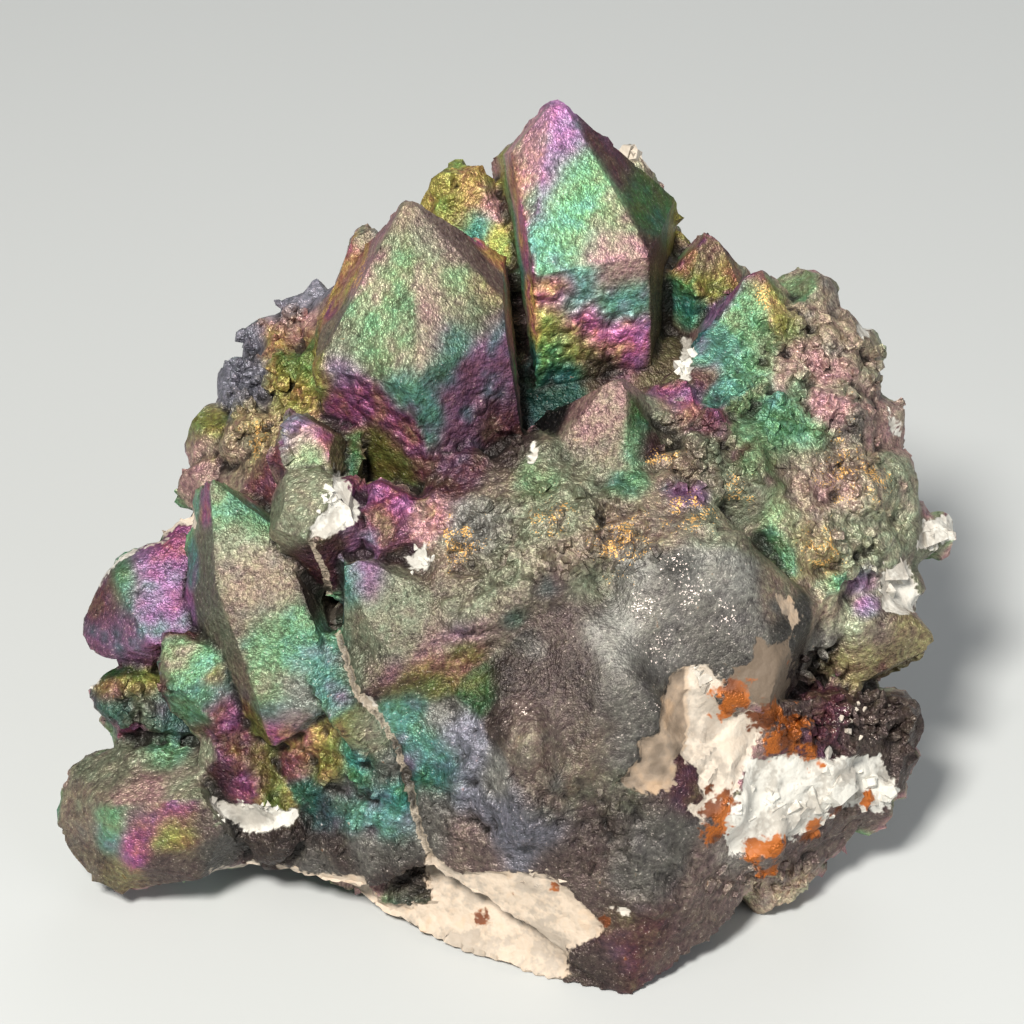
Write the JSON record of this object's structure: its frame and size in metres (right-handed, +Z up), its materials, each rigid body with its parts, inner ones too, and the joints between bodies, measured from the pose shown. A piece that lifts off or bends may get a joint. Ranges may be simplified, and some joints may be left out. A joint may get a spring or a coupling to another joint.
{
  "type": "quartz crystal cluster",
  "caption": "Loose cluster of pointed quartz crystals with an iridescent iron oxide coating, on a rough rock root that it rests on.",
  "frame": {"origin": "bottom centre of the bounding box, on the surface that the stone rests on", "axes": "+Z up, the crystal-covered front looks towards -Y, +X to the right as seen from the front"},
  "size_m": [0.0562, 0.0416, 0.0437],
  "materials": {
    "coated_quartz": null
  },
  "bodies": {
    "root": {"quartz_cluster": "coated_quartz"}
  },
  "joints": []
}
